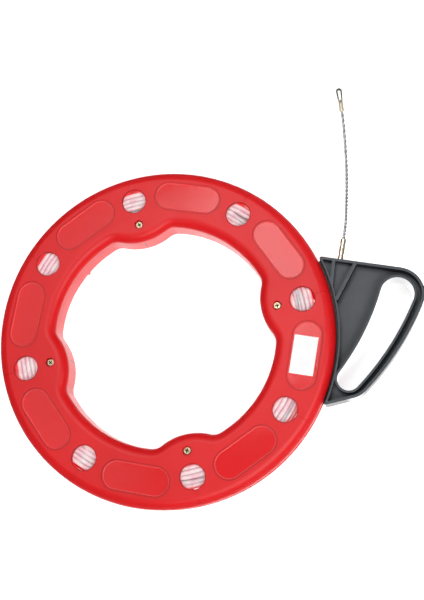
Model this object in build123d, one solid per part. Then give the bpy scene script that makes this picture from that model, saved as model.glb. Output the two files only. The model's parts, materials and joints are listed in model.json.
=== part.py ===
from build123d import *
import math
import os

# Fish tape reel, lying on its back on a flat surface.
# The origin is on the reel's axis, in the plane that the rear shell rests on. +Z points out of
# the front of the case, +X towards the grip and +Y the way the tape leaves. All sizes are in mm.

# ---- Case: two identical halves that mate at mid thickness
case_radius = 149.8           # outer rim
case_thickness = 35.0
bore_radius = 98.7            # the large opening that the reel is turned by
plate = 2.6                   # face plate and side wall
wall = 2.4                    # wall round the opening
bore_edge_radius = 8.4        # roll-off from the opening to the face

shoulder_width = 8.6          # from the rim to the flat face
crease_inset = 2.3            # from the rim to the crease in the shoulder
crease_depth = 3.7
rim_depth = 9.4               # where the shoulder meets the straight rim
shoulder_bulge = 0.9
lip = 2.6                     # lip that holds the grip's foot in
slot_width = 10.0             # running slot round the rim

lobe_count = 4
lobe_angle = 13.0             # first lobe, from +X
lobe_reach = 10.5             # how far a lobe stands into the opening
lobe_curve = 49.8             # curve of a lobe's tip
lobe_blend = 12.0             # blend from a lobe to the opening
lap_depth = 5.0               # step where the two halves' opening walls change over

window_count = 8
window_radius = 10.6
window_inset = 24.6           # window centres, in from the rim
window_edge = 0.5

panel_inset = 24.8            # recessed panels between the windows
panel_length = 60.0
panel_width = 26.0
panel_border = 1.4
panel_step = 0.5
panel_depth = 1.0

track_inset = 13.8            # inner rib that keeps the coil off the grip's foot
track_wall = 2.0
track_gap = 11.0              # the tape passes between the two ribs

# ---- Case fasteners
screw_inset = 4.1             # screw centres, in from the opening's radius to the case's flesh
boss_radius = 5.6
screw_radius = 1.95
screw_clearance = 0.2
screw_end_height = 0.8        # screw tips, above the rear face
head_radius = 3.3
head_height = 2.6
recess_width = 0.95
recess_length = 3.8
recess_depth = 1.5
nut_across_flats = 7.0
nut_height = 3.2
thread_clearance = 0.05
pocket_clearance = 0.15
pocket_depth = 4.2

# ---- Blank label in one front panel
label_width = 20.4
label_length = 33.4
label_thickness = 0.15
label_shift = -0.9            # from the panel's centre, towards the axis

# ---- Tape
tape_length = 30000.0
tape_radius = 2.0
coil_gap = 0.4                # coil to face plates
coil_packing = 0.95           # share of the coil's section that square-laid turns fill
anchor_angle = 140.0           # in a quarter where the rear half's wall stands high
anchor_wall = 2.6
anchor_clearance = 0.1
anchor_stub = 27.0
stop_wall = 1.1
stop_clearance = 0.7          # stop to the wall round the opening
anchor_inset = 5.8            # coil's inside to the anchored end's centre
stop_length = 11.0
fork_rise = 3.0

# ---- Tape outlet: a straight line that leaves the case inside the grip
outlet_angle = 10.0           # lean of the line from +Y towards +X
outlet_clearance = 0.4        # round the tape, in the grip and its bush
lead_drift = 16.6             # how much tighter the lead out curves than the outlet radius
tape_joint_gap = 0.3

# ---- Grip
grip_thickness = 24.0
grip_gap = 1.7                # case rim to grip
grip_rim = 2.5                # raised rim along the grip's outer edges
ring_rim = 1.8                # raised rim along the case
hole_rim = 2.0                # raised rim round the finger hole
grip_web = 5.0
guide_web = 11.0              # thicker web round the tape's bore
top_corner = 67.2             # height of the grip's top edge at the case
bottom_corner = -62.5
shoulder_reach = 83.2         # corner where the top edge would meet the grip bar, from the rim
grip_middle = (54.4, -12.3)
grip_heel = (19.4, -55.1)
shoulder_round = 23.0
heel_round = 22.0
corner_round = 1.6
eye_top = (52.4, 32.0)        # finger hole: centre and radius of its two ends, from the rim
eye_top_radius = 14.2
eye_bottom = (9.7, -40.6)
eye_bottom_radius = 9.6
eye_bow = 3.8                 # how far the finger hole bows towards the grip bar
grip_edge = 0.7
rib_width = 3.0
guide_rib = ((-0.6, 63.0), (-3.2, 40.0))
brace_rib = ((18.4, 61.0), (0.7, 28.0))
lug_height = 34.4
lug_length = 10.9
lug_reach = 3.0
lug_thickness = 10.0
foot_start = -23.6            # the grip's foot in the case's slot, degrees
foot_end = 25.2
foot_width = 16.0
foot_thickness = 3.5
foot_clearance = 0.3

# ---- Bush where the tape leaves the grip
bush_wall = 0.7
bush_length = 8.0
bush_flange_reach = 0.7
bush_flange = 0.9

# ---- Leader
ferrule_wall = 0.5
ferrule_length = 20.0
ferrule_start_gap = 0.4
ferrule_grip = 9.0            # how deep the tape goes into the ferrule
crimp_depth = 0.35
crimp_width = 2.2
cable_radius = 1.35
shank_radius = 2.1
shank_length = 8.0
neck_length = 3.4
eye_length = 23.4
loop_thickness = 2.6
loop_near_radius = 2.1        # the loop and its slot both widen towards the far end
loop_far_radius = 2.7
slot_near_radius = 1.0
slot_far_radius = 1.35
slot_wall = 1.5               # left of the loop beyond the slot
eye_heading = -6.5            # degrees from +Y towards +X
end_run = 10.0

# Points of the leader's route: sideways and along from the ferrule's end, then the height
# above the surface. The first run is straight out of the ferrule and the last into the eye.
straight_out = 12.0
leader_route = [
    (3.1, 31.0, 12.8),
    (3.9, 51.5, 5.3),
    (4.1, 72.5, 1.6),
    (3.6, 91.9, 1.6),
    (2.3, 116.7, 2.15),
]

# ---------------------------------------------------------------- sizes that follow
half = case_thickness / 2
lip_height = half - slot_width / 2
lip_inner_radius = case_radius - lip
face_edge_radius = case_radius - shoulder_width
crease_radius = case_radius - crease_inset
lobe_centre_radius = bore_radius - lobe_reach + lobe_curve
screw_circle = bore_radius + screw_inset
screw_length = case_thickness - pocket_depth - screw_end_height
window_circle = case_radius - window_inset
panel_circle = case_radius - panel_inset
track_inner = case_radius - track_inset
coil_outer = track_inner - tape_radius * 0.75
coil_height = case_thickness - 2 * (plate + coil_gap)
coil_section = tape_length * (2 * tape_radius) ** 2 / coil_packing
stop_radius = tape_radius + stop_wall
coil_least = bore_radius + wall + stop_clearance + stop_radius + anchor_inset
# A tape too long for the case is cut to the length that leaves room for its anchored end.
coil_free = max(coil_outer**2 - coil_section / (math.pi * coil_height), 0)
coil_inner = max(math.sqrt(coil_free), coil_least)
pitch = 360 / lobe_count
window_pitch = 360 / window_count
pocket_radius = (nut_across_flats + 2 * pocket_clearance) / math.sqrt(3)
foot_outer = lip_inner_radius - foot_clearance
foot_inner = foot_outer - foot_thickness
outlet_radius = foot_inner - tape_radius - foot_clearance - 0.3
grip_face = case_radius + grip_gap
bush_radius = tape_radius + outlet_clearance + bush_wall
bush_flange_radius = bush_radius + bush_flange_reach
ferrule_radius = tape_radius + ferrule_wall


def polar(radius, degrees, z=0.0):
    """The point at a radius and an angle round the reel's axis."""
    turn = math.radians(degrees)
    return Vector(radius * math.cos(turn), radius * math.sin(turn), z)


def around(degrees):
    """A rotation about the reel's axis."""
    return Rot(0, 0, degrees)


def ring(outer, inner, bottom, top):
    """A plain ring round the reel's axis."""
    face = Circle(outer) - Circle(inner)
    return Pos(0, 0, bottom) * extrude(face, top - bottom)


def sector(radius, start, end, bottom, top):
    """A wedge of the disc round the reel's axis, wide enough to cut with."""
    face = make_face(
        Line((0, 0), polar(radius, start))
        + ThreePointArc(polar(radius, start), polar(radius, (start + end) / 2), polar(radius, end))
        + Line(polar(radius, end), (0, 0))
    )
    return Pos(0, 0, bottom) * extrude(face, top - bottom)


def along(start, direction, radius, length):
    """A round bar from a point along a direction."""
    return extrude(Plane(origin=start, z_dir=direction) * Circle(radius), length)


# ---------------------------------------------------------------- case
def opening(inset):
    """The lobed opening through the case, grown into the case by inset."""
    face = Circle(bore_radius + inset)
    for k in range(lobe_count):
        face -= around(lobe_angle + pitch * k) * Pos(lobe_centre_radius, 0) * Circle(lobe_curve - inset)
    corners = [v for v in face.vertices() if abs(Vector(v).length - bore_radius - inset) < 0.01]
    return fillet(corners, lobe_blend + inset)


def opening_edges(body, z):
    """The edges of the opening that lie in one plane."""
    flat = body.edges().filter_by_position(Axis.Z, z - 0.01, z + 0.01)
    return [e for e in flat if (e @ 0.5 - Vector(0, 0, z)).length < bore_radius + bore_edge_radius]


def shell_blank():
    """The outside of one half: flat face, two-stage shoulder and rim lip."""
    crease = (crease_radius, crease_depth)
    first = ((face_edge_radius + crease_radius) / 2, crease_depth / 2 - shoulder_bulge)
    second = ((crease_radius + case_radius) / 2 + shoulder_bulge / 2, (crease_depth + rim_depth) / 2)
    outline = (
        Line((0, 0), (face_edge_radius, 0))
        + ThreePointArc((face_edge_radius, 0), first, crease)
        + ThreePointArc(crease, second, (case_radius, rim_depth))
        + Polyline(
            (case_radius, rim_depth),
            (case_radius, lip_height),
            (lip_inner_radius, lip_height),
            (lip_inner_radius, half),
            (0, half),
            (0, 0),
        )
    )
    body = revolve(Plane.XZ * make_face(outline), Axis.Z)
    body -= extrude(opening(0), half)
    return fillet(opening_edges(body, 0), bore_edge_radius)


def shell_cavity():
    """The room inside one half, for the coil and the grip's foot."""
    outline = Polyline(
        (0, plate),
        (face_edge_radius - plate / 2, plate),
        (crease_radius - plate, crease_depth + plate * 0.6),
        (lip_inner_radius, rim_depth - 0.8),
        (lip_inner_radius, half + 1),
        (0, half + 1),
        (0, plate),
    )
    room = revolve(Plane.XZ * make_face(outline), Axis.Z)
    room -= extrude(opening(wall), half + 1)
    return fillet(opening_edges(room, plate), bore_edge_radius - wall)


def screw_pocket(top):
    """A hexagonal pocket for a screw head or a nut, sunk into the face at z = 0."""
    return extrude(RegularPolygon(pocket_radius, 6), top)


def shell_half():
    """One moulded half of the case, with its face down at z = 0."""
    body = shell_blank() - shell_cavity()
    body += ring(track_inner + track_wall, track_inner, plate / 2, half - track_gap / 2)
    for k in range(lobe_count):
        place = around(lobe_angle + pitch * k) * Pos(screw_circle, 0, 0)
        body += place * Pos(0, 0, plate / 2) * extrude(Circle(boss_radius), half - plate / 2)
        body -= place * extrude(Circle(screw_radius + screw_clearance), half)
        body -= place * screw_pocket(pocket_depth)
    for k in range(window_count):
        body -= around(lobe_angle + window_pitch * k) * Pos(window_circle, 0, 0) * extrude(
            Circle(window_radius), 2 * plate
        )
        place = around(lobe_angle + window_pitch * (k + 0.5)) * Pos(panel_circle, 0, 0) * Rot(0, 0, 90)
        body -= place * extrude(SlotOverall(panel_length, panel_width), panel_step)
        body -= place * extrude(
            SlotOverall(panel_length - 2 * panel_border, panel_width - 2 * panel_border), panel_depth
        )
    rims = body.edges().filter_by(GeomType.CIRCLE).filter_by_position(Axis.Z, -0.01, 0.01)
    body = fillet([e for e in rims if abs(e.radius - window_radius) < 0.01], window_edge)
    # The wall round the opening steps up in two quarters and down in the other two.
    band = extrude(opening(wall), half + lap_depth) - extrude(opening(0), half + lap_depth)
    reach = bore_radius + 3 * wall
    for k in range(0, lobe_count, 2):
        low = lobe_angle + pitch * k
        body -= band & sector(reach, low, low + pitch, half - lap_depth, half)
        body += band & sector(reach, low + pitch, low + 2 * pitch, half - lap_depth, half + lap_depth)
    return body


def anchor_fork():
    """A forked rib in the rear half that the tape's crimped inner end hooks behind."""
    span = coil_inner - 1 - (bore_radius + wall / 2)
    rise = half + fork_rise - plate / 2
    low = Vector(bore_radius + wall / 2 + span / 2, 0, plate / 2 + rise / 2)
    body = Pos(low) * Box(span, anchor_wall, rise)
    slot = tape_radius + anchor_clearance
    body -= Pos(anchor_radius, 0, half) * Rot(90, 0, 0) * Cylinder(slot, 2 * anchor_wall)
    body -= Pos(anchor_radius, 0, half + fork_rise) * Box(2 * slot, 2 * anchor_wall, 2 * fork_rise)
    return around(anchor_angle) * body


def case_screw():
    """One cross-recessed screw, head up, with its seat at z = 0."""
    body = Pos(0, 0, -screw_length) * extrude(Circle(screw_radius), screw_length)
    head = extrude(Circle(head_radius), head_height)
    head = fillet(head.edges().group_by(Axis.Z)[-1], 0.7)
    for turn in (0, 90):
        head -= Pos(0, 0, head_height) * Rot(0, 0, turn) * Box(recess_length, recess_width, 2 * recess_depth)
    return body + head


def case_nut():
    """One hexagonal nut with its upper face at z = 0."""
    corner_radius = nut_across_flats / math.sqrt(3)
    face = RegularPolygon(corner_radius, 6) - Circle(screw_radius + thread_clearance)
    return Pos(0, 0, -nut_height) * extrude(face, nut_height)


anchor_radius = coil_inner - anchor_inset

shell = shell_half()
flip = Axis((0, 0, half), (math.cos(math.radians(lobe_angle)), math.sin(math.radians(lobe_angle)), 0))
front_shell = shell.rotate(flip, 180)
rear_shell = shell + anchor_fork()

screw_places = [around(lobe_angle + pitch * k) * Pos(screw_circle, 0, 0) for k in range(lobe_count)]
screw_seat = case_thickness - pocket_depth
case_screws = Compound(
    [p * Pos(0, 0, screw_seat) * Rot(0, 0, 20 * k) * case_screw() for k, p in enumerate(screw_places)]
)
case_nuts = Compound([p * Pos(0, 0, pocket_depth) * case_nut() for p in screw_places])

label_place = around(lobe_angle - window_pitch / 2) * Pos(
    panel_circle + label_shift, 0, case_thickness - panel_depth + label_thickness / 2
)
blank_label = label_place * Box(label_width, label_length, label_thickness)

# ---------------------------------------------------------------- tape in the case
tape_coil = ring(coil_outer, coil_inner, plate + coil_gap, case_thickness - plate - coil_gap)

anchor_start = around(anchor_angle) * Pos(anchor_radius, 0, half)
stub_back = anchor_wall / 2 + stop_length
tape_inner_end = anchor_start * Rot(90, 0, 0) * Pos(0, 0, -anchor_stub) * extrude(
    Circle(tape_radius), anchor_stub + stub_back
)
tape_end_stop = anchor_start * Rot(90, 0, 0) * Pos(0, 0, anchor_wall / 2) * extrude(
    Circle(stop_radius) - Circle(tape_radius), stop_length
)

# ---------------------------------------------------------------- tape outlet
outlet_turn = -outlet_angle
outlet_start = polar(outlet_radius, outlet_turn, half)
outlet_direction = Vector(
    math.sin(math.radians(outlet_angle)), math.cos(math.radians(outlet_angle)), 0
)


def on_outlet(distance):
    """The point on the outlet line at a distance from where it touches its circle."""
    return outlet_start + outlet_direction * distance


# ---------------------------------------------------------------- grip
def from_rim(point):
    """A point given from the case's rim, in the reel's frame."""
    return (case_radius + point[0], point[1])


def ring_side(height):
    """The point of the grip's ring side at a height in Y."""
    return (math.sqrt(grip_face**2 - height**2), height)


def top_edge_height(x):
    """The height in Y of the grip's top edge, which is square to the tape's outlet line."""
    start = ring_side(top_corner)
    return start[1] - math.tan(math.radians(outlet_angle)) * (x - start[0])


def grip_outline(inset):
    """The grip's outline in plan, drawn in by inset."""
    top = ring_side(top_corner)
    bottom = ring_side(bottom_corner)
    shoulder = from_rim((shoulder_reach, top_edge_height(case_radius + shoulder_reach)))
    heel = from_rim(grip_heel)
    face = make_face(
        Line(top, shoulder)
        + ThreePointArc(shoulder, from_rim(grip_middle), heel)
        + Line(heel, bottom)
        + ThreePointArc(bottom, (grip_face, 0), top)
    )
    rounds = [(shoulder, shoulder_round), (heel, heel_round), (top, corner_round), (bottom, corner_round)]
    for corner, radius in rounds:
        near = face.vertices().sort_by_distance(Vector(*corner))[0]
        face = fillet(near, radius)
    return offset(face, -inset) if inset else face


def finger_hole(inset):
    """The bowed, tapered finger hole in plan, grown by inset."""
    low = Vector(*from_rim(eye_bottom))
    high = Vector(*from_rim(eye_top))
    chord = high - low
    lie = math.degrees(math.atan2(chord.Y, chord.X))
    bow_radius = (chord.length**2 / 4 + eye_bow**2) / (2 * eye_bow)
    swing = math.degrees(math.asin(chord.length / 2 / bow_radius))
    taper = math.degrees(math.asin((eye_top_radius - eye_bottom_radius) / chord.length))
    big = eye_top_radius + inset
    small = eye_bottom_radius + inset
    width = (big + small) / 2
    middle = (low + high) * 0.5
    out = Vector(math.cos(math.radians(lie - 90)), math.sin(math.radians(lie - 90)))
    high_right = high + polar(big, lie + swing - 90 - taper)
    high_left = high + polar(big, lie + swing + 90 + taper)
    low_right = low + polar(small, lie - swing - 90 - taper)
    low_left = low + polar(small, lie - swing + 90 + taper)
    return make_face(
        ThreePointArc(high_right, high + polar(big, lie + swing), high_left)
        + ThreePointArc(high_left, middle + out * (eye_bow - width), low_left)
        + ThreePointArc(low_left, low - polar(small, lie - swing), low_right)
        + ThreePointArc(low_right, middle + out * (eye_bow + width), high_right)
    )


def plan_bar(ends, width):
    """A straight bar in plan between two points given from the rim."""
    start = Vector(*from_rim(ends[0]))
    end = Vector(*from_rim(ends[1]))
    run = end - start
    turn = math.degrees(math.atan2(run.Y, run.X))
    middle = (start + end) * 0.5
    return Pos(middle.X, middle.Y) * Rot(0, 0, turn) * Rectangle(run.length, width)


def grip_body():
    """The moulded grip: I-section frame, finger hole, ribs, lug and the foot that rides in the rim."""
    bottom = half - grip_thickness / 2
    body = Pos(0, 0, bottom) * extrude(grip_outline(0) - finger_hole(0), grip_thickness)
    rims = body.edges().group_by(Axis.Z)
    body = fillet(rims[0] + rims[-1], grip_edge)
    inside = grip_outline(grip_rim)
    hollow = inside + Pos(ring_rim - grip_rim, 0) * inside - finger_hole(hole_rim)
    hollow -= plan_bar(guide_rib, rib_width)
    hollow -= plan_bar(brace_rib, rib_width)
    brace_top = Vector(*from_rim(brace_rib[0]))
    brace_low = Vector(*from_rim(brace_rib[1]))
    brace_run = brace_top - brace_low
    for area in hollow.faces():
        spot = area.center() - brace_low
        near_case = brace_run.X * spot.Y - brace_run.Y * spot.X > 0
        web = guide_web if near_case else grip_web
        depth = (grip_thickness - web) / 2
        body -= Pos(0, 0, bottom) * extrude(area, depth)
        body -= Pos(0, 0, bottom + grip_thickness - depth) * extrude(area, depth)
    return body


def grip_foot():
    """The neck and the T-shaped head that run in the slot round the case's rim."""
    neck_half = slot_width / 2 - foot_clearance
    neck = ring(grip_face + 1, foot_outer - 0.5, half - neck_half, half + neck_half)
    head = ring(foot_outer, foot_inner, half - foot_width / 2, half + foot_width / 2)
    reach = sector(case_radius + 20, foot_start, foot_end, 0, case_thickness)
    return (neck + head) & reach


def lug():
    """The small lug on the grip's outer edge."""
    face = RectangleRounded(2 * lug_reach, lug_length, 1.0)
    edge = grip_edge_x(lug_height)
    return Pos(edge, lug_height, half - lug_thickness / 2) * extrude(face, lug_thickness)


def grip_edge_x(height):
    """How far out the grip's outer edge is at a height in Y."""
    probe = Line((case_radius, height), (case_radius + 200, height))
    hits = [v.X for v in (probe & grip_outline(0).face()).vertices()]
    return max(hits)


grip = grip_body() + grip_foot() + lug()
bore = tape_radius + outlet_clearance
exit_distance = (Vector(*ring_side(top_corner), half) - outlet_start).dot(outlet_direction)
grip -= along(on_outlet(-30), outlet_direction, bore, exit_distance + 40)
bush_seat = exit_distance - bush_length
grip -= along(on_outlet(bush_seat), outlet_direction, bush_radius, bush_length + 10)

guide_bush = along(on_outlet(bush_seat), outlet_direction, bush_radius, bush_length)
guide_bush += along(on_outlet(exit_distance), outlet_direction, bush_flange_radius, bush_flange)
guide_bush -= along(on_outlet(bush_seat - 1), outlet_direction, bore, bush_length + bush_flange + 2)

# The tape's curve from the coil to the grip's bore, on a tighter circle than the outlet's.
lead_radius = outlet_radius - lead_drift
lead_rise = outlet_radius - (coil_outer + tape_radius + foot_clearance)
lead_turn = math.degrees(math.acos(1 - lead_rise / lead_drift))
lead_centre = polar(lead_drift, outlet_turn, half)
lead_path = ThreePointArc(
    lead_centre + polar(lead_radius, outlet_turn - lead_turn),
    lead_centre + polar(lead_radius, outlet_turn - lead_turn / 2),
    lead_centre + polar(lead_radius, outlet_turn),
)
tape_lead_out = sweep(Plane(origin=lead_path @ 0, z_dir=lead_path % 0) * Circle(tape_radius), lead_path)

# ---------------------------------------------------------------- leader
ferrule_start = exit_distance + bush_flange + ferrule_start_gap
ferrule_end = ferrule_start + ferrule_length
tape_outlet_run = along(
    on_outlet(tape_joint_gap), outlet_direction, tape_radius, ferrule_start + ferrule_grip - tape_joint_gap
)

leader_ferrule = along(on_outlet(ferrule_start), outlet_direction, ferrule_radius, ferrule_length)
leader_ferrule = chamfer(leader_ferrule.edges().filter_by(GeomType.CIRCLE), 0.4)
leader_ferrule -= along(on_outlet(ferrule_start), outlet_direction, tape_radius, ferrule_grip)
for place in (0.25, 0.7):
    spot = on_outlet(ferrule_start + ferrule_length * place - crimp_width / 2)
    groove = along(spot, outlet_direction, ferrule_radius + 1, crimp_width)
    groove -= along(spot, outlet_direction, ferrule_radius - crimp_depth, crimp_width)
    leader_ferrule -= groove

cable_start = on_outlet(ferrule_end)
heading = Vector(math.sin(math.radians(eye_heading)), math.cos(math.radians(eye_heading)), 0)
route = [cable_start, on_outlet(ferrule_end + straight_out)]
route += [Vector(cable_start.X + side, cable_start.Y + ahead, z) for side, ahead, z in leader_route]
route.append(route[-1] + heading * end_run)


def bend_radii(points):
    """The radius of each bend: as large as the two runs beside it allow."""
    radii = []
    for before, corner, after in zip(points, points[1:], points[2:]):
        shorter = min((corner - before).length, (after - corner).length)
        turn = math.radians((corner - before).get_angle(after - corner))
        radii.append(0.45 * shorter / math.tan(turn / 2))
    return radii


radii = bend_radii(route)
cable_path = FilletPolyline(*route, radius=radii)
leader_cable = sweep(Plane(origin=route[0], z_dir=outlet_direction) * Circle(cable_radius), cable_path)
section = math.pi * cable_radius**2
print("cable bend radii", [round(r, 1) for r in radii])
print("cable length", round(cable_path.length, 1), "runs", [round((b - a).length, 1) for a, b in zip(route, route[1:])])
print("cable volume over section times length", round(leader_cable.volume / (section * cable_path.length), 4))


def tapered_bar(near, far):
    """A flat bar in plan along +X with round ends, each given by its centre and its radius."""
    ends = (Pos(near[0], 0) * Circle(near[1])).edges() + (Pos(far[0], 0) * Circle(far[1])).edges()
    return make_hull(ends)


def eye_body():
    """The pulling eye along +X: round shank, tapered neck and a flat slotted loop."""
    shank = Rot(0, 90, 0) * extrude(Circle(shank_radius), shank_length)
    shank = chamfer(shank.edges().filter_by(GeomType.CIRCLE).group_by(Axis.X)[0], 0.6)
    shank += Pos(shank_length, 0, 0) * Rot(0, 90, 0) * Cone(
        shank_radius, loop_thickness / 2, neck_length, align=(Align.CENTER, Align.CENTER, Align.MIN)
    )
    slot_far = eye_length - slot_wall - slot_far_radius
    slot_near = shank_length + neck_length + slot_near_radius
    loop = tapered_bar((shank_length + loop_near_radius, loop_near_radius), (eye_length - loop_far_radius, loop_far_radius))
    slot = tapered_bar((slot_near, slot_near_radius), (slot_far, slot_far_radius))
    body = shank + Pos(0, 0, -loop_thickness / 2) * extrude(loop, loop_thickness)
    return body - Pos(0, 0, -shank_radius) * extrude(slot, 2 * shank_radius)


pulling_eye = Pos(route[-1]) * Rot(0, 0, 90 - eye_heading) * eye_body()

# ---------------------------------------------------------------- write the parts
parts = {
    "front_shell": front_shell,
    "rear_shell": rear_shell,
    "case_screws": case_screws,
    "case_nuts": case_nuts,
    "blank_label": blank_label,
    "tape_coil": tape_coil,
    "tape_inner_end": tape_inner_end,
    "tape_end_stop": tape_end_stop,
    "grip": grip,
    "guide_bush": guide_bush,
    "tape_lead_out": tape_lead_out,
    "tape_outlet_run": tape_outlet_run,
    "leader_ferrule": leader_ferrule,
    "leader_cable": leader_cable,
    "pulling_eye": pulling_eye,
}
os.makedirs("parts", exist_ok=True)
for name, solid in parts.items():
    export_step(solid, f"parts/{name}.step")
    print(name, round(solid.volume, 1), solid.bounding_box().min, solid.bounding_box().max)
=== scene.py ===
"""Looks of a fish tape reel: a ring-shaped case, a grip that runs round it and a wire leader.

Each sub-assembly is a class that holds its sizes and builds and dresses its own pieces. Lengths
are metres in the reel's own frame: +Z out of the front of the case, +X towards the grip, +Y the
way the tape leaves.
"""

import json
import logging
import math
from dataclasses import dataclass, field
from enum import Enum
from typing import Sequence

import bmesh
import bpy
from mathutils import Matrix, Vector, noise

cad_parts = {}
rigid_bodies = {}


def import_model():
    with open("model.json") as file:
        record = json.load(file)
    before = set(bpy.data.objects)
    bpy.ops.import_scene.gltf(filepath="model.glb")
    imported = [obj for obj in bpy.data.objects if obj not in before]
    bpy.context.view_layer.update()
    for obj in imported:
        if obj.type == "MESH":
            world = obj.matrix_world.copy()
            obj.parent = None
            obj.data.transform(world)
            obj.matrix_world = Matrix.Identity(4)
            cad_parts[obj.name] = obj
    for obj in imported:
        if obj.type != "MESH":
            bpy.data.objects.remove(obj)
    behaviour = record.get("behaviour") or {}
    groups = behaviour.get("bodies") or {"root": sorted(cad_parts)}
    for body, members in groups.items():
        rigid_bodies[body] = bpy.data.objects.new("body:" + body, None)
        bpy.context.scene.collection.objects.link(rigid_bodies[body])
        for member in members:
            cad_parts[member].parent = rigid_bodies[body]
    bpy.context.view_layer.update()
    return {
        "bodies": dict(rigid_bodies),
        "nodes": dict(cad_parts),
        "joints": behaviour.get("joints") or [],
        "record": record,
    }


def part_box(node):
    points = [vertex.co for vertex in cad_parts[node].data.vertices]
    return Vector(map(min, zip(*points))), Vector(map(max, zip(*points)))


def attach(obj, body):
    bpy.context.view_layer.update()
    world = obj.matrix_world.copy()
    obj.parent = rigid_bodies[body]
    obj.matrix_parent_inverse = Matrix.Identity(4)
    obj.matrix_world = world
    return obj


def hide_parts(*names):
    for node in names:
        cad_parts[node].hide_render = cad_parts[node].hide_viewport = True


MM = 0.001
Triple = tuple[bpy.types.NodeSocket, bpy.types.NodeSocket, bpy.types.NodeSocket]
Colour = tuple[float, float, float, float]
log = logging.getLogger("reel")


# ------------------------------------------------------------------ node graphs
class Graph:
    """A material's node tree, with short ways to add and join nodes."""

    def __init__(self, name: str) -> None:
        """Start an empty material.

        Args:
            name: the material's name.
        """
        self.material = bpy.data.materials.new(name)
        self.material.use_nodes = True
        self.tree = self.material.node_tree
        self.tree.nodes.clear()
        self.output = self.tree.nodes.new("ShaderNodeOutputMaterial")

    def add(self, kind: str, **settings: object) -> bpy.types.Node:
        """Add one node.

        Args:
            kind: the node's type, without its ShaderNode prefix.
            settings: properties to set on the node.

        Returns:
            The new node.
        """
        node = self.tree.nodes.new("ShaderNode" + kind)
        for key, value in settings.items():
            setattr(node, key, value)
        return node

    def feed(self, node: bpy.types.Node, socket: "str | int", value: object) -> None:
        """Set an input to a constant or join it to another node's output.

        Args:
            node: the node to feed.
            socket: the input's name or index.
            value: a number, a tuple or an output socket.
        """
        if isinstance(value, bpy.types.NodeSocket):
            self.tree.links.new(value, node.inputs[socket])
        else:
            node.inputs[socket].default_value = value

    def maths(self, operation: str, *values: object, clamp: bool = False) -> bpy.types.NodeSocket:
        """Add a Math node.

        Args:
            operation: the node's operation.
            values: its inputs, in order.
            clamp: whether the result is held between 0 and 1.

        Returns:
            The result's socket.
        """
        node = self.add("Math", operation=operation, use_clamp=clamp)
        for index, value in enumerate(values):
            self.feed(node, index, value)
        return node.outputs[0]

    def ramp(
        self, value: object, low: float, high: float, start: float = 0.0, end: float = 1.0
    ) -> bpy.types.NodeSocket:
        """Map a value smoothly from one range to another.

        Args:
            value: the socket to map.
            low: the value that gives start.
            high: the value that gives end.
            start: the result at and below low.
            end: the result at and above high.

        Returns:
            The mapped value's socket.
        """
        node = self.add("MapRange", interpolation_type="SMOOTHSTEP", clamp=True)
        for socket, amount in ((0, value), (1, low), (2, high), (3, start), (4, end)):
            self.feed(node, socket, amount)
        return node.outputs[0]

    def position(self) -> bpy.types.NodeSocket:
        """The place of the shaded point in the object's own frame."""
        return self.add("TexCoord").outputs["Object"]

    def split(self, vector: bpy.types.NodeSocket) -> Triple:
        """Split a vector.

        Args:
            vector: the vector's socket.

        Returns:
            The sockets of its x, y and z.
        """
        node = self.add("SeparateXYZ")
        self.feed(node, 0, vector)
        return node.outputs[0], node.outputs[1], node.outputs[2]

    def parts(self) -> Triple:
        """The x, y and z of the shaded point in the object's own frame."""
        return self.split(self.position())

    def facing(self) -> Triple:
        """The x, y and z of the way the shaded face looks, in the object's own frame."""
        return self.split(self.add("TexCoord").outputs["Normal"])

    def largest(self, *values: object) -> bpy.types.NodeSocket:
        """The largest of some values.

        Args:
            values: the values' sockets.

        Returns:
            The largest one's socket.
        """
        result = values[0]
        for value in values[1:]:
            result = self.maths("MAXIMUM", result, value)
        return result

    def length(self, first: object, second: object) -> bpy.types.NodeSocket:
        """The length of the line with two perpendicular parts.

        Args:
            first: one part's socket.
            second: the other part's socket.

        Returns:
            The length's socket.
        """
        squares = [self.maths("MULTIPLY", part, part) for part in (first, second)]
        return self.maths("SQRT", self.maths("ADD", *squares))

    def line(self, value: object, middle: float, width: float) -> bpy.types.NodeSocket:
        """A soft line where a value passes a level.

        Args:
            value: the value's socket.
            middle: the level.
            width: the line's width, in the value's own unit.

        Returns:
            A socket that is one on the line and nought beside it.
        """
        aside = self.maths("ABSOLUTE", self.maths("SUBTRACT", value, middle))
        return self.ramp(aside, width * 0.2, width * 0.5, 1.0, 0.0)

    def upright(self) -> bpy.types.NodeSocket:
        """One on walls that stand along the object's Z and nought on flats across it."""
        return self.ramp(self.maths("ABSOLUTE", self.facing()[2]), 0.15, 0.75, 1.0, 0.0)

    def speckle(self, scale: float, detail: float = 3.0) -> bpy.types.NodeSocket:
        """Add a noise pattern.

        Args:
            scale: the pattern's repeats per metre.
            detail: its octaves.

        Returns:
            The pattern's value, about 0.5 on average.
        """
        node = self.add("TexNoise")
        self.feed(node, "Vector", self.position())
        self.feed(node, "Scale", scale)
        self.feed(node, "Detail", detail)
        return node.outputs[0]

    def blend(self, share: object, first: Sequence[float], second: Sequence[float]) -> bpy.types.NodeSocket:
        """Mix two colours.

        Args:
            share: how much of the second colour there is.
            first: the first colour or its socket.
            second: the second colour or its socket.

        Returns:
            The mixed colour's socket.
        """
        node = self.add("Mix", data_type="RGBA")
        self.feed(node, 0, share)
        self.feed(node, 6, first)
        self.feed(node, 7, second)
        return node.outputs[2]

    def relief(
        self, height: bpy.types.NodeSocket, depth: float, under: object = None
    ) -> bpy.types.NodeSocket:
        """Add a bump.

        Args:
            height: the pattern, 0 to 1.
            depth: how far the pattern's 1 stands out, in metres.
            under: a normal to bump further, or None.

        Returns:
            The bumped normal's socket.
        """
        node = self.add("Bump")
        self.feed(node, "Distance", depth)
        self.feed(node, "Height", height)
        if under is not None:
            self.feed(node, "Normal", under)
        return node.outputs[0]

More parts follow.
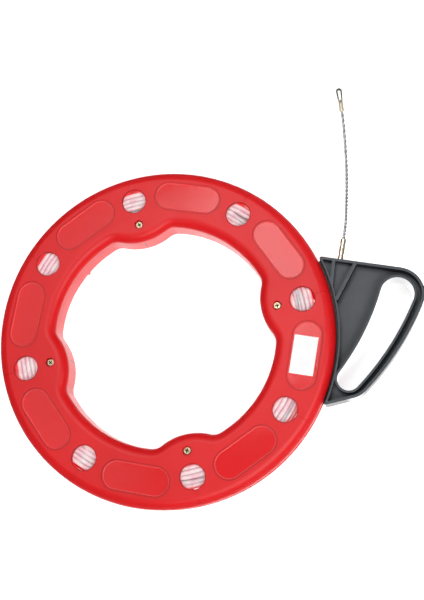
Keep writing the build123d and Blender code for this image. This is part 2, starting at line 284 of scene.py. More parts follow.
    def surface(self, **inputs: object) -> bpy.types.Material:
        """Finish the material with one principled shader.

        Args:
            inputs: the shader's inputs, with underscores for spaces.

        Returns:
            The finished material.
        """
        shader = self.add("BsdfPrincipled")
        for key, value in inputs.items():
            self.feed(shader, key.replace("_", " "), value)
        self.tree.links.new(shader.outputs[0], self.output.inputs[0])
        return self.material


def paint(red: float, green: float, blue: float) -> Colour:
    """An opaque colour from its linear parts."""
    return (red, green, blue, 1.0)


# ------------------------------------------------------------------ finishes
@dataclass(frozen=True)
class RedMoulding:
    """The case's red plastic: a faintly grained face with polished panels and moulding marks.

    Painted shade darkens a line round each window, the outer border of each panel and the bottom of the
    walls, and a painted highlight runs inside each panel's border. The hollow's walls carry a painted red
    glow, emitted in place of the light that comes through the thin walls.
    """

    deep: Colour = paint(0.70, 0.005, 0.008)
    bright: Colour = paint(0.75, 0.008, 0.012)
    # shade: painted shade for the dark lines round windows and panels and low on the walls; also the colour
    # of the seam and weld marks
    shade: Colour = paint(0.30, 0.001, 0.003)
    # painted_highlight: the colour of a painted highlight line just inside each panel's border
    painted_highlight: Colour = paint(0.95, 0.30, 0.30)
    dark: Colour = paint(0.0, 0.0, 0.0)
    glow: float = 0.55
    glow_from: float = -5.0 * MM
    glow_full: float = -9.0 * MM
    ring_circle: float = 125.0 * MM
    face_roughness: float = 0.42
    panel_roughness: float = 0.15
    grain: float = 0.02 * MM
    windows: int = 8
    first_window: float = math.radians(13)
    window_circle: float = 125.2 * MM
    window_radius: float = 10.6 * MM
    panel_circle: float = 125.0 * MM
    panel_length: float = 60.0 * MM
    panel_width: float = 26.0 * MM
    panel_border: float = 1.4 * MM
    bore_radius: float = 98.7 * MM
    joint: float = 17.5 * MM
    lap: float = 5.0 * MM

    def folded(self, graph: Graph, shift: float) -> tuple[bpy.types.NodeSocket, bpy.types.NodeSocket]:
        """Fold the ring so that every window, or every panel, lies on one.

        Args:
            graph: the material's graph.
            shift: the angle of one of them.

        Returns:
            The sockets of the distance along the rim and of the distance from the axis.
        """
        x, y, _ = graph.parts()
        pitch = 2 * math.pi / self.windows
        angle = graph.maths("ARCTAN2", y, x)
        turned = graph.maths("ADD", angle, 4 * math.pi + pitch / 2 - shift)
        local = graph.maths("SUBTRACT", graph.maths("FLOORED_MODULO", turned, pitch), pitch / 2)
        radius = graph.length(x, y)
        across = graph.maths("MULTIPLY", radius, graph.maths("SINE", local))
        out = graph.maths("MULTIPLY", radius, graph.maths("COSINE", local))
        return across, out

    def panel_reach(self, graph: Graph) -> bpy.types.NodeSocket:
        """How far the shaded point is from the middle line of the nearest panel.

        Args:
            graph: the material's graph.

        Returns:
            The distance's socket.
        """
        across, out = self.folded(graph, self.first_window + math.pi / self.windows)
        straight = (self.panel_length - self.panel_width) / 2
        past_end = graph.maths("SUBTRACT", graph.maths("ABSOLUTE", across), straight)
        beyond = graph.largest(past_end, 0.0)
        return graph.length(beyond, graph.maths("SUBTRACT", out, self.panel_circle))

    def window_marks(self, graph: Graph) -> tuple[bpy.types.NodeSocket, bpy.types.NodeSocket]:
        """The marks round the windows.

        Args:
            graph: the material's graph.

        Returns:
            The sockets of the rim round each window, where painted shade is laid, and of the fine line,
            where the plastic met, from each window out over the shoulder.
        """
        across, out = self.folded(graph, self.first_window)
        reach = graph.length(across, graph.maths("SUBTRACT", out, self.window_circle))
        # The rim is where painted shade lays a dark line round each window.
        rim = graph.line(reach, self.window_radius + 0.2 * MM, 1.3 * MM)
        weld = graph.line(across, 1.6 * MM, 1.2 * MM)
        outward = graph.ramp(out, self.window_circle + self.window_radius, 139 * MM)
        return rim, graph.maths("MULTIPLY", weld, outward)

    def seam(self, graph: Graph) -> bpy.types.NodeSocket:
        """The stepped joint between the two halves, where it shows in the opening.

        Args:
            graph: the material's graph.

        Returns:
            The joint's socket, one on the joint.
        """
        x, y, z = graph.parts()
        turned = graph.maths("ADD", graph.maths("ARCTAN2", y, x), 4 * math.pi - self.first_window)
        local = graph.maths("FLOORED_MODULO", turned, math.pi)
        high = graph.maths("GREATER_THAN", local, math.pi / 2)
        level = graph.maths("ADD", graph.maths("MULTIPLY", high, 2 * self.lap), self.joint - self.lap)
        joint = graph.line(graph.maths("SUBTRACT", z, level), 0.0, 0.9 * MM)
        quarter = graph.maths("PINGPONG", graph.maths("ADD", local, math.pi / 4), math.pi / 4)
        step = graph.ramp(quarter, math.pi / 4 - 0.011, math.pi / 4 - 0.004)
        above = graph.maths("ABSOLUTE", graph.maths("SUBTRACT", z, self.joint))
        near = graph.ramp(above, self.lap, self.lap * 1.2, 1.0, 0.0)
        past_bore = self.bore_radius + 0.5 * MM
        shown = graph.ramp(graph.length(x, y), past_bore, past_bore + 0.5 * MM, 1.0, 0.0)
        marks = graph.largest(graph.maths("MULTIPLY", joint, 0.55), graph.maths("MULTIPLY", step, near))
        return graph.maths("MULTIPLY", marks, shown)

    def painted_glow(self, graph: Graph) -> bpy.types.NodeSocket:
        """Which faces look into the hollow of the ring, where light comes through the walls.

        Args:
            graph: the material's graph.

        Returns:
            The share's socket, one on the hollow's walls, where the painted glow goes.
        """
        x, y, z = graph.parts()
        face_x, face_y, face_z = graph.facing()
        radius = graph.length(x, y)
        outward = graph.maths("MULTIPLY", face_x, x)
        outward = graph.maths("ADD", outward, graph.maths("MULTIPLY", face_y, y))
        outward = graph.maths("DIVIDE", outward, radius)
        away = graph.maths("MULTIPLY", outward, graph.maths("SUBTRACT", radius, self.ring_circle))
        rise = graph.maths("MULTIPLY", face_z, graph.maths("SUBTRACT", z, self.joint))
        return graph.ramp(graph.maths("ADD", away, rise), self.glow_full, self.glow_from, 1.0, 0.0)

    def material(self) -> bpy.types.Material:
        """Build the finish."""
        graph = Graph("red_moulding")
        reach = self.panel_reach(graph)
        rim, weld = self.window_marks(graph)
        inner = self.panel_width / 2 - self.panel_border
        # Painted shade: a dark line along each panel's outer border, where its step meets the face.
        outer_shade_line = graph.line(reach, self.panel_width / 2, 1.1 * MM)
        inner_highlight_line = graph.line(reach, inner, 0.9 * MM)
        panel = graph.ramp(reach, inner - 0.3 * MM, inner + 0.3 * MM, 1.0, 0.0)
        grain = graph.speckle(2600.0, 2.0)
        swirl = graph.speckle(60.0, 4.0)
        tone = graph.blend(graph.ramp(graph.speckle(9.0, 2.0), 0.35, 0.65), self.deep, self.bright)
        # Painted highlight: a light pink line just inside each panel's border.
        tone = graph.blend(graph.maths("MULTIPLY", inner_highlight_line, 0.3), tone, self.painted_highlight)
        # Painted contact shade: the faces near the floor are darkened and made rougher.
        contact_shade = graph.ramp(graph.parts()[2], 1.5 * MM, 5.0 * MM, 1.0, 0.0)
        # Darker marks: the window rims, the contact shade and the panels' outer lines are painted shade;
        # the weld lines and the seam are the moulding's own marks.
        marks = graph.largest(
            graph.maths("MULTIPLY", rim, 0.9),
            graph.maths("MULTIPLY", weld, 0.22),
            self.seam(graph),
            graph.maths("MULTIPLY", contact_shade, 0.8),
            graph.maths("MULTIPLY", outer_shade_line, 0.6),
        )
        colour = graph.blend(marks, tone, self.shade)
        change = graph.maths("MULTIPLY", panel, self.panel_roughness - self.face_roughness)
        rough = graph.maths("ADD", graph.maths("MULTIPLY", swirl, 0.1), self.face_roughness - 0.05)
        rough = graph.maths("ADD", rough, graph.maths("MULTIPLY", contact_shade, 0.4))
        normal = graph.relief(grain, self.grain)
        normal = graph.relief(swirl, 0.12 * MM, normal)
        step = graph.maths("SUBTRACT", graph.maths("MULTIPLY", weld, 0.5), panel)
        normal = graph.relief(step, 0.25 * MM, normal)
        return graph.surface(
            Base_Color=colour,
            Roughness=graph.maths("ADD", rough, change),
            Normal=normal,
            IOR=1.42,
            # Painted glow: the hollow's walls emit red light in place of the light that comes through the
            # thin walls.
            Emission_Color=graph.blend(self.painted_glow(graph), self.dark, self.bright),
            Emission_Strength=self.glow,
            Subsurface_Weight=0.5,
            Subsurface_Radius=(1.0, 0.04, 0.03),
            Subsurface_Scale=5.0 * MM,
        )


@dataclass(frozen=True)
class GreyMoulding:
    """The grip's dark grey plastic: fine spark-eroded grain, darker walls, a hand-worn finger hole."""

    web: Colour = paint(0.043, 0.047, 0.056)
    cloud: Colour = paint(0.060, 0.065, 0.076)
    # rim: the lighter, bluer tone of a painted highlight on the rims' tops
    rim: Colour = paint(0.052, 0.062, 0.074)
    # wall_shade: the colour of painted shade on the upright walls and in the slot
    wall_shade: Colour = paint(0.010, 0.011, 0.014)
    roughness: float = 0.45
    worn_roughness: float = 0.22
    grain: float = 0.05 * MM
    middle: float = 17.5 * MM
    rim_height: float = 11.0 * MM
    slot_radius: float = 151.2 * MM
    hole_low: tuple[float, float] = (159.5 * MM, -40.6 * MM)
    hole_high: tuple[float, float] = (202.2 * MM, 32.0 * MM)
    hole_reach: float = 16.0 * MM

    def worn(self, graph: Graph) -> bpy.types.NodeSocket:
        """One in the finger hole and nought beyond it.

        Args:
            graph: the material's graph.

        Returns:
            The mask's socket.
        """
        x, y, _ = graph.parts()
        run = Vector(self.hole_high) - Vector(self.hole_low)
        ahead = run.normalized()
        right = graph.maths("SUBTRACT", x, self.hole_low[0])
        up = graph.maths("SUBTRACT", y, self.hole_low[1])
        along_x, along_y = graph.maths("MULTIPLY", right, ahead.x), graph.maths("MULTIPLY", up, ahead.y)
        across_x, across_y = graph.maths("MULTIPLY", right, ahead.y), graph.maths("MULTIPLY", up, ahead.x)
        gone = graph.maths("ADD", along_x, along_y)
        aside = graph.maths("SUBTRACT", across_x, across_y)
        inside = graph.maths("MAXIMUM", graph.maths("MINIMUM", gone, run.length), 0.0)
        reach = graph.length(graph.maths("SUBTRACT", gone, inside), aside)
        return graph.ramp(reach, self.hole_reach, self.hole_reach + 1.5 * MM, 1.0, 0.0)

    def material(self) -> bpy.types.Material:
        """Build the finish."""
        graph = Graph("grip_moulding")
        x, y, z = graph.parts()
        haze = graph.speckle(35.0, 3.0)
        height = graph.maths("ABSOLUTE", graph.maths("SUBTRACT", z, self.middle))
        colour = graph.blend(graph.ramp(haze, 0.3, 0.7), self.web, self.cloud)
        # Painted highlight: the rims' tops, above the recessed web, get a lighter, bluer tone.
        raised_highlight = graph.ramp(height, self.rim_height, self.rim_height + 0.5 * MM)
        colour = graph.blend(raised_highlight, colour, self.rim)
        # Painted shade: the upright walls and the gap by the ring's slot are darkened almost to black.
        slot = graph.ramp(graph.length(x, y), self.slot_radius, self.slot_radius + 0.3 * MM, 1.0, 0.0)
        colour = graph.blend(graph.maths("MAXIMUM", graph.upright(), slot), colour, self.wall_shade)
        worn = graph.maths("MULTIPLY", self.worn(graph), graph.upright())
        change = graph.maths("MULTIPLY", worn, self.worn_roughness - self.roughness)
        rough = graph.maths("ADD", graph.maths("MULTIPLY", haze, 0.1), self.roughness - 0.05)
        edges = graph.add("Bevel", samples=4)
        graph.feed(edges, "Radius", 0.5 * MM)
        normal = graph.relief(graph.speckle(1500.0, 3.0), self.grain, edges.outputs[0])
        rough = graph.maths("ADD", rough, change)
        return graph.surface(Base_Color=colour, Roughness=rough, Normal=normal, IOR=1.5)


@dataclass(frozen=True)
class Acetal:
    """The guide bush's smooth dark brown plastic."""

    dark: Colour = paint(0.05, 0.022, 0.015)
    light: Colour = paint(0.08, 0.035, 0.022)

    def material(self) -> bpy.types.Material:
        """Build the finish."""
        graph = Graph("bush_acetal")
        cloud = graph.speckle(200.0, 3.0)
        colour = graph.blend(graph.ramp(cloud, 0.3, 0.7), self.dark, self.light)
        rough = graph.maths("ADD", graph.maths("MULTIPLY", cloud, 0.16), 0.2)
        return graph.surface(Base_Color=colour, Roughness=rough, Normal=graph.relief(cloud, 0.01 * MM))


@dataclass(frozen=True)
class DrawnNylon:
    """The tape's smooth translucent nylon, faintly clouded and tinged by the red round it."""

    # The pink in both colours is painted light: the red that the case throws on the tape.
    clear: Colour = paint(0.97, 0.78, 0.79)
    cloudy: Colour = paint(0.93, 0.56, 0.62)
    roughness: float = 0.28

    def material(self) -> bpy.types.Material:
        """Build the finish."""
        graph = Graph("drawn_nylon")
        cloud = graph.speckle(140.0, 3.0)
        fine = graph.speckle(1400.0, 2.0)
        colour = graph.blend(graph.ramp(cloud, 0.35, 0.7), self.clear, self.cloudy)
        rough = graph.maths("ADD", graph.maths("MULTIPLY", fine, 0.12), self.roughness - 0.06)
        normal = graph.relief(fine, 0.02 * MM)
        return graph.surface(
            Base_Color=colour,
            Roughness=rough,
            Normal=normal,
            IOR=1.53,
            Subsurface_Weight=0.9,
            Subsurface_Radius=(1.0, 0.9, 0.9),
            Subsurface_Scale=2.5 * MM,
        )


@dataclass(frozen=True)
class Metal:
    """A bare or plated metal, with fine turning or drawing marks and dull patches.

    A tint darkens it over spans along one axis, in millimetres, and painted shade darkens its upright
    sides, which are also made rougher and less metallic.
    """

    name: str
    clean: Colour
    dull: Colour
    roughness: float = 0.28
    marks: float = 3600.0
    depth: float = 0.012 * MM
    tint: Colour = paint(0.0, 0.0, 0.0)
    tint_axis: int = 0
    tint_spans: tuple[tuple[float, float, float], ...] = ()
    metallic: float = 1.0
    painted_side_shade: Colour = paint(0.03, 0.03, 0.035)
    painted_side_shade_share: float = 0.0

    def tinted(self, graph: Graph) -> "bpy.types.NodeSocket | float":
        """How much of the tint there is at a place along the tint's axis.

        Args:
            graph: the material's graph.

        Returns:
            The tint's share.
        """
        place = graph.parts()[self.tint_axis]
        share = 1.0
        for low, high, end in self.tint_spans:
            share = graph.maths("MULTIPLY", share, graph.ramp(place, low * MM, high * MM, 1.0 - end, end))
        return share

    def material(self) -> bpy.types.Material:
        """Build the finish."""
        graph = Graph(self.name)
        patches = graph.speckle(420.0, 4.0)
        marks = graph.speckle(self.marks, 2.0)
        colour = graph.blend(graph.ramp(patches, 0.42, 0.68), self.clean, self.dull)
        if self.tint_spans:
            colour = graph.blend(self.tinted(graph), colour, self.tint)
        rough = graph.maths("ADD", graph.maths("MULTIPLY", patches, 0.3), self.roughness - 0.15, clamp=True)
        metallic = self.metallic
        # Painted shade: the upright sides are darkened, and made rougher and less metallic.
        if self.painted_side_shade_share:
            painted_side_shade = graph.maths("MULTIPLY", graph.upright(), self.painted_side_shade_share)
            colour = graph.blend(painted_side_shade, colour, self.painted_side_shade)
            rough = graph.maths("ADD", rough, graph.maths("MULTIPLY", painted_side_shade, 0.5), clamp=True)
            metallic = graph.maths("SUBTRACT", self.metallic, painted_side_shade, clamp=True)
        normal = graph.relief(marks, self.depth)
        return graph.surface(Base_Color=colour, Metallic=metallic, Roughness=rough, Normal=normal)


@dataclass(frozen=True)
class LabelFilm:
    """A blank white printed film with a very faint paper-like tooth."""

    white: Colour = paint(0.99, 0.99, 0.99)
    shade: Colour = paint(0.96, 0.96, 0.97)

    def material(self) -> bpy.types.Material:
        """Build the finish."""
        graph = Graph("label_film")
        cloud = graph.speckle(90.0, 3.0)
        tooth = graph.speckle(3000.0, 2.0)
        colour = graph.blend(graph.ramp(cloud, 0.3, 0.7), self.white, self.shade)
        rough = graph.maths("ADD", graph.maths("MULTIPLY", cloud, 0.1), 0.4)
        return graph.surface(Base_Color=colour, Roughness=rough, Normal=graph.relief(tooth, 0.01 * MM))


@dataclass(frozen=True)
class SweepFloor:
    """The studio's white sweep: pale, and lit a little from within so that it stays even."""

    white: Colour = paint(0.86, 0.86, 0.86)
    shade: Colour = paint(0.84, 0.84, 0.84)
    light: Colour = paint(1.0, 1.0, 1.0)
    glow: float = 0.75

    def material(self) -> bpy.types.Material:
        """Build the finish."""
        graph = Graph("sweep_floor")
        cloud = graph.speckle(4.0, 2.0)
        colour = graph.blend(cloud, self.white, self.shade)
        return graph.surface(
            Base_Color=colour, Roughness=0.8, Emission_Color=self.light, Emission_Strength=self.glow
        )


BRASS = Metal("drawn_brass", paint(0.86, 0.70, 0.42), paint(0.60, 0.42, 0.20), 0.30)
EYE_BRASS = Metal(
    "eye_brass", paint(0.93, 0.86, 0.70), paint(0.80, 0.68, 0.46), 0.42,
    tint=paint(0.085, 0.08, 0.055), tint_axis=1, tint_spans=((217.0, 227.0, 1.0),), metallic=0.6,
)
SLEEVE_BRASS = Metal("crimped_sleeve", paint(0.93, 0.89, 0.74), paint(0.74, 0.64, 0.44), 0.30)
# The tint is painted shade: it darkens the screws below their heads' tops, in the cross recesses.
PLATED = Metal(
    "yellow_zinc", paint(0.62, 0.54, 0.36), paint(0.34, 0.29, 0.18), 0.42,
    tint=paint(0.016, 0.024, 0.018), tint_axis=2, tint_spans=((10.0, 12.0, 1.0), (32.4, 33.1, 0.0)),
)
# The leader's wires get painted shade on their upright sides.
STEEL = Metal(
    "leader_steel", paint(0.62, 0.62, 0.62), paint(0.40, 0.40, 0.40), 0.44, metallic=0.7, painted_side_shade_share=1.0,
)


class Look(Enum):
    """The finishes of the reel's pieces."""

    CASE = RedMoulding()
    GRIP = GreyMoulding()
    BUSH = Acetal()
    TAPE = DrawnNylon()
    LABEL = LabelFilm()
    CRIMP = BRASS
    EYE = EYE_BRASS
    SLEEVE = SLEEVE_BRASS
    SCREW = PLATED
    WIRE = STEEL
    FLOOR = SweepFloor()


class Wardrobe:
    """Makes each finish's material once and puts it on pieces."""

    def __init__(self) -> None:
        """Start with no materials made."""
        self.made: dict[Look, bpy.types.Material] = {}

    def dress(self, piece: bpy.types.Object, look: Look) -> None:
        """Give a piece one finish all over.

        Args:
            piece: the object to dress.
            look: the finish.
        """
        if look not in self.made:
            self.made[look] = look.value.material()
        if piece.material_slots:
            for slot in piece.material_slots:
                slot.material = self.made[look]
        else:
            piece.data.materials.append(self.made[look])


# ------------------------------------------------------------------ mesh helpers
def new_piece(name: str, mesh: bpy.types.Mesh) -> bpy.types.Object:
    """Put a mesh in the scene as a smooth piece.

    Args:
        name: the piece's name.
        mesh: its mesh.

    Returns:
        The new object.
    """
    mesh.shade_smooth()
    piece = bpy.data.objects.new(name, mesh)
    bpy.context.scene.collection.objects.link(piece)
    return piece


class Tube:
    """Builds round rods along lines of points into one mesh."""

    def __init__(self, name: str) -> None:
        """Start an empty mesh.

        Args:
            name: the mesh's name.
        """
        self.name = name
        self.bm = bmesh.new()

    def rod(self, points: Sequence[Vector], radius: float, sides: int) -> None:
        """Add a rod with closed ends along a line of points.

        Args:
            points: the rod's centreline.
            radius: its radius.
            sides: how many sides its section has.
        """
        rings = []
        across = None
        for index, point in enumerate(points):
            ahead = points[min(index + 1, len(points) - 1)] - points[max(index - 1, 0)]
            ahead.normalize()
            if across is None:
                across = ahead.orthogonal().normalized()
            across = (across - ahead * across.dot(ahead)).normalized()
            up = ahead.cross(across)
            ring = []
            for side in range(sides):
                turn = 2 * math.pi * side / sides
                offset = (across * math.cos(turn) + up * math.sin(turn)) * radius
                ring.append(self.bm.verts.new(point + offset))
            rings.append(ring)
        for first, second in zip(rings, rings[1:]):
            for side in range(sides):
                other = (side + 1) % sides
                self.bm.faces.new((first[side], first[other], second[other], second[side]))
        self.bm.faces.new(list(reversed(rings[0])))
        self.bm.faces.new(rings[-1])

    def mesh(self) -> bpy.types.Mesh:
        """The finished mesh, with its faces turned outward."""
        bmesh.ops.recalc_face_normals(self.bm, faces=self.bm.faces)
        mesh = bpy.data.meshes.new(self.name)
        self.bm.to_mesh(mesh)
        self.bm.free()
        return mesh


def run_length(line: Sequence[Vector]) -> float:
    """The length of a line of points."""
    return sum((second - first).length for first, second in zip(line, line[1:]))


def softened(node: bpy.types.Object, name: str, voxel: float, rounds: int) -> bpy.types.Object:
    """A copy of a CAD node with its sharp edges worn round.

    Args:
        node: the CAD node.
        name: the copy's name.
        voxel: the size of the copy's faces.
        rounds: how many times it is smoothed.

    Returns:
        The new piece.
    """
    piece = new_piece(name, node.data.copy())
    remesh = piece.modifiers.new("remesh", "REMESH")
    remesh.mode = "VOXEL"
    remesh.voxel_size = voxel
    smooth = piece.modifiers.new("smooth", "SMOOTH")
    smooth.factor = 0.5
    smooth.iterations = rounds
    bpy.context.view_layer.update()
    mesh = bpy.data.meshes.new_from_object(piece.evaluated_get(bpy.context.evaluated_depsgraph_get()))
    piece.modifiers.clear()
    piece.data = mesh
    mesh.materials.clear()
    mesh.shade_smooth()
    return piece


# ------------------------------------------------------------------ the reel
@dataclass
class Case:
    """The two red halves with their screws, nuts and blank label."""

    wardrobe: Wardrobe
    nodes: dict[str, bpy.types.Object]

    def dress(self) -> None:
        """Give the moulded and turned pieces their finishes."""
        for name in ("front_shell", "rear_shell"):
            self.wardrobe.dress(self.nodes[name], Look.CASE)
        for name in ("case_screws", "case_nuts"):
            self.wardrobe.dress(self.nodes[name], Look.SCREW)
        self.wardrobe.dress(self.nodes["blank_label"], Look.LABEL)
        self.wardrobe.dress(self.nodes["tape_inner_end"], Look.TAPE)
        self.wardrobe.dress(self.nodes["tape_end_stop"], Look.CRIMP)
        log.info("case dressed")


@dataclass
class Winding:
    """The tape's turns inside the case."""

    wardrobe: Wardrobe
    rod_radius: float = 2.0 * MM
    spacing: float = 3.92 * MM
    turns: int = 38
    steps: int = 100
    sides: int = 12
    looseness: float = 0.3 * MM
    headroom: float = 0.2 * MM
    crossing: float = 0.14

    def place(self, turn: int, outer: float, low: float, high: float) -> tuple[float, float]:
        """Where a turn lies in the winding's section.

        Args:
            turn: the turn's number, from the inside.
            outer: the radius of the outermost turns.
            low: the height of the lowest layer.
            high: the height of the highest layer.

        Returns:
            The turn's radius and height.
        """
        layers = int((high - low) / self.spacing) + 1
        column, row = divmod(turn, layers)
        if column % 2:
            row = layers - 1 - row
        columns = math.ceil(self.turns / layers)
        radius = outer - (columns - 1 - column) * self.spacing
        height = low + (high - low) * row / (layers - 1)
        return radius, height

    def build(self) -> bpy.types.Object:
        """Wind the tape.

        Returns:
            The winding's piece.
        """
        low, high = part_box("tape_coil")
        outer = high.x - self.rod_radius - self.looseness
        bottom = low.z + self.rod_radius + self.headroom
        top = high.z - self.rod_radius - self.headroom
        places = [self.place(turn, outer, bottom, top) for turn in range(self.turns)]
        places.append(places[-1])
        points = []
        for turn in range(self.turns):
            for step in range(self.steps):
                share = step / self.steps
                cross = max(0.0, (share - 1 + self.crossing) / self.crossing)
                cross = cross * cross * (3 - 2 * cross)
                radius = places[turn][0] * (1 - cross) + places[turn + 1][0] * cross
                height = places[turn][1] * (1 - cross) + places[turn + 1][1] * cross
                angle = 2 * math.pi * share + 0.35 * turn
                around = Vector((math.cos(angle), math.sin(angle), 0))
                shared = noise.noise(around * 1.3 + Vector((0, 0, places[turn][0] * 9)))
                own = noise.noise(around * 2.1 + Vector((0, 0, 7.3 * turn)))
                radius += self.looseness * (0.7 * shared + 0.6 * own)
                height += 0.3 * self.looseness * own
                points.append(Vector((around.x * radius, around.y * radius, height)))
        tube = Tube("tape_winding")
        tube.rod(points, self.rod_radius, self.sides)
        piece = new_piece("tape_winding", tube.mesh())
        self.wardrobe.dress(piece, Look.TAPE)
        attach(piece, "case")
        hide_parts("tape_coil")
        log.info("tape_winding: %d turns", self.turns)
        return piece


@dataclass
class Grip:
    """The moulded grip with its bush and the tape that runs through it."""

    wardrobe: Wardrobe
    nodes: dict[str, bpy.types.Object]

    def dress(self) -> None:
        """Give the grip's pieces their finishes."""
        self.wardrobe.dress(self.nodes["grip"], Look.GRIP)
        self.wardrobe.dress(self.nodes["guide_bush"], Look.BUSH)
        self.wardrobe.dress(self.nodes["tape_lead_out"], Look.TAPE)
        self.wardrobe.dress(self.nodes["tape_outlet_run"], Look.TAPE)
        log.info("grip dressed")


@dataclass
class Leader:
    """The leader of two twisted wires between the crimped ferrule and the pulling eye.

    Each bend is the distance, in millimetres, to the side and ahead of the start, and the height.
    """

    wardrobe: Wardrobe
    nodes: dict[str, bpy.types.Object]
    start: Vector = field(default_factory=lambda: Vector((157.946, 84.920, 17.5)) * MM)
    lean: float = math.radians(10)
    heading: float = math.radians(-6.5)
    straight_out: float = 12.0 * MM
    end_run: float = 10.0 * MM
    bends: tuple[tuple[float, float, float], ...] = (
        (3.1, 31.0, 12.8),
        (3.9, 51.5, 5.3),
        (4.1, 72.5, 1.6),
        (3.6, 91.9, 1.6),
        (2.3, 116.7, 2.15),
    )
    diameter: float = 2.7 * MM
    strand_radius: float = 0.69 * MM
    sides: int = 20
    steps: int = 80
    tail: float = 1.2 * MM
    tight_lay: float = 6.8 * MM
    loose_lay: float = 10.8 * MM

    def route(self) -> list[Vector]:
        """The leader's points, from the ferrule to the eye."""
        out = Vector((math.sin(self.lean), math.cos(self.lean), 0))
        into = Vector((math.sin(self.heading), math.cos(self.heading), 0))
        points = [self.start, self.start + out * self.straight_out]
        for side, ahead, height in self.bends:
            points.append(Vector((self.start.x + side * MM, self.start.y + ahead * MM, height * MM)))
        points.append(points[-1] + into * self.end_run)
        return points

    def centreline(self) -> list[Vector]:
        """Points read from the smooth line through the route: one curve for each bend."""
        points = self.route()
        knots = [points[0]]
        knots += [(first + second) / 2 for first, second in zip(points[1:-2], points[2:-1])]
        knots.append(points[-1])
        line = [points[0]]
        for start, bend, end in zip(knots, points[1:-1], knots[1:]):
            for step in range(1, self.steps + 1):
                share = step / self.steps
                line.append(start.lerp(bend, share).lerp(bend.lerp(end, share), share))
        return line

    def strand_lines(self, line: Sequence[Vector]) -> list[list[Vector]]:
        """The centrelines of the two strands twisted round each other.

        Args:
            line: the leader's own centreline.

        Returns:
            One list of points for each strand.
        """
        lines: list[list[Vector]] = [[], []]
        total = run_length(line)
        reach = self.diameter / 2 - self.strand_radius
        gone = 0.0
        phase = 0.0
        across = None
        for index, point in enumerate(line):
            ahead = (line[min(index + 1, len(line) - 1)] - line[max(index - 1, 0)]).normalized()
            if index:
                step = (point - line[index - 1]).length
                gone += step
                lay = self.tight_lay + (self.loose_lay - self.tight_lay) * gone / total
                phase += 2 * math.pi * step / lay
            across = ahead.orthogonal().normalized() if across is None else across
            across = (across - ahead * across.dot(ahead)).normalized()
            up = ahead.cross(across)
            for strand in range(2):
                turn = phase + math.pi * strand
                offset = (across * math.cos(turn) + up * math.sin(turn)) * reach
                lines[strand].append(point + offset)
        return lines

    def build_cable(self) -> bpy.types.Object:
        """Twist the leader's two wires.

        Returns:
            The leader's piece.
        """
        line = self.centreline()
        tube = Tube("leader_wires")
        tail = (line[-1] - line[-2]).normalized() * self.tail
        for strand in self.strand_lines([*line, line[-1] + tail]):
            tube.rod(strand, self.strand_radius, self.sides)
        piece = new_piece("leader_wires", tube.mesh())
        self.wardrobe.dress(piece, Look.WIRE)
        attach(piece, "leader")
        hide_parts("leader_cable")
        return piece

    def build_eye(self) -> bpy.types.Object:
        """Round the pulling eye's edges.

        Returns:
            The eye's piece.
        """
        piece = softened(self.nodes["pulling_eye"], "pulling_eye_worn", 0.16 * MM, 2)
        self.wardrobe.dress(piece, Look.EYE)
        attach(piece, "leader")
        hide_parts("pulling_eye")
        log.info("pulling_eye_worn: %d faces", len(piece.data.polygons))
        return piece

    def dress(self) -> None:
        """Give the ferrule its finish."""
        self.wardrobe.dress(self.nodes["leader_ferrule"], Look.SLEEVE)


# ------------------------------------------------------------------ studio
@dataclass(frozen=True)
class Softbox:
    """One soft rectangular light: where it hangs, what it points at, its sides and its power in watts."""

    name: str
    place: tuple[float, float, float]
    target: tuple[float, float, float]
    size: tuple[float, float]
    power: float

    def hang(self) -> None:
        """Put the light in the scene."""
        lamp = bpy.data.lights.new(self.name, "AREA")
        lamp.shape = "RECTANGLE"
        lamp.size, lamp.size_y = self.size
        lamp.energy = self.power
        holder = bpy.data.objects.new(self.name, lamp)
        holder.location = self.place
        aim = Vector(self.target) - Vector(self.place)
        holder.rotation_euler = aim.to_track_quat("-Z", "Y").to_euler()
        bpy.context.scene.collection.objects.link(holder)


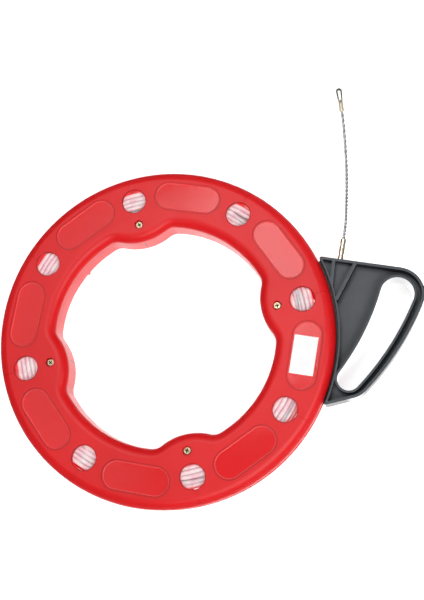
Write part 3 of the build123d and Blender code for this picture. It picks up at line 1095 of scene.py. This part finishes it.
@dataclass
class Studio:
    """The white sweep, the soft lights and the camera."""

    wardrobe: Wardrobe
    aim: Vector = field(default_factory=lambda: Vector((0.04371, 0.02911, 0.035)))
    distance: float = 0.80983
    look: Vector = field(default_factory=lambda: Vector((-0.14946, 0.21341, -0.96546)))
    tilt: float = math.radians(0.42)
    lens: float = 55.936
    sky: float = 0.45
    sky_band: tuple[float, float] = (0.3, 0.95)
    horizon: float = 0.06
    table: float = 3.2
    table_band: tuple[float, float] = (-0.6, -0.92)
    sweep_reach: float = 6.0
    boxes: tuple[Softbox, ...] = (
        Softbox("overhead", (-0.05, 0.46, 1.5), (-0.02, 0.43, 0.0), (0.6, 0.5), 5.4),
        Softbox("ceiling", (-0.62, 0.22, 1.5), (-0.62, 0.22, 0.0), (0.55, 0.95), 1.7),
        Softbox("front_box", (0.80, -0.86, 1.40), (0.0, 0.0, 0.0), (1.9, 0.5), 21.0),
    )

    def floor(self) -> None:
        """Lay the sweep that the reel lies on."""
        bm = bmesh.new()
        bmesh.ops.create_grid(bm, x_segments=24, y_segments=24, size=self.sweep_reach)
        mesh = bpy.data.meshes.new("sweep")
        bm.to_mesh(mesh)
        bm.free()
        piece = new_piece("sweep", mesh)
        piece.visible_glossy = False
        self.wardrobe.dress(piece, Look.FLOOR)

    def air(self) -> None:
        """Fill the air with soft light: dark round the horizon, brighter overhead and from the table."""
        world = bpy.data.worlds.new("studio_air")
        world.use_nodes = True
        tree = world.node_tree
        backdrop = tree.nodes["Background"]
        where = tree.nodes.new("ShaderNodeTexCoord")
        split = tree.nodes.new("ShaderNodeSeparateXYZ")
        tree.links.new(where.outputs["Generated"], split.inputs[0])
        for name, band, end in (("up", self.sky_band, self.sky), ("down", self.table_band, self.table)):
            node = tree.nodes.new("ShaderNodeMapRange")
            node.name = name
            node.interpolation_type = "SMOOTHSTEP"
            tree.links.new(split.outputs[2], node.inputs[0])
            for socket, value in ((1, band[0]), (2, band[1]), (3, 0.0), (4, end - self.horizon)):
                node.inputs[socket].default_value = value
        total = tree.nodes.new("ShaderNodeMath")
        tree.links.new(tree.nodes["up"].outputs[0], total.inputs[0])
        tree.links.new(tree.nodes["down"].outputs[0], total.inputs[1])
        lifted = tree.nodes.new("ShaderNodeMath")
        lifted.inputs[1].default_value = self.horizon
        tree.links.new(total.outputs[0], lifted.inputs[0])
        tree.links.new(lifted.outputs[0], backdrop.inputs[1])
        backdrop.inputs[0].default_value = (1.0, 1.0, 1.0, 1.0)
        bpy.context.scene.world = world

    def lights(self) -> None:
        """Light the reel from two boxes above, a long box in front of the grip and the air."""
        for box in self.boxes:
            box.hang()
        self.air()

    def camera(self) -> None:
        """Set the camera above and a little in front of the reel."""
        view = bpy.data.cameras.new("camera")
        view.sensor_width = 36.0
        view.lens = self.lens
        view.clip_start = 0.01
        holder = bpy.data.objects.new("camera", view)
        back = -self.look.normalized()
        level = (Vector((0, 1, 0)) - back * back.y).normalized()
        up = Matrix.Rotation(self.tilt, 3, back) @ level
        right = up.cross(back)
        frame = Matrix((right, up, back)).transposed().to_4x4()
        frame.translation = self.aim + back * self.distance
        holder.matrix_world = frame
        bpy.context.scene.collection.objects.link(holder)
        bpy.context.scene.camera = holder

    def build(self) -> None:
        """Build the whole studio."""
        self.floor()
        self.lights()
        self.camera()
        bpy.context.scene.view_settings.view_transform = "Standard"
        log.info("studio ready")


def main() -> None:
    """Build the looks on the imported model, piece by piece."""
    logging.basicConfig(level=logging.INFO, format="%(name)s %(message)s")
    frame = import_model()
    nodes = frame["nodes"]
    wardrobe = Wardrobe()
    Studio(wardrobe).build()
    Case(wardrobe, nodes).dress()
    Winding(wardrobe).build()
    Grip(wardrobe, nodes).dress()
    leader = Leader(wardrobe, nodes)
    leader.dress()
    leader.build_eye()
    leader.build_cable()


if __name__ == "__main__":
    main()
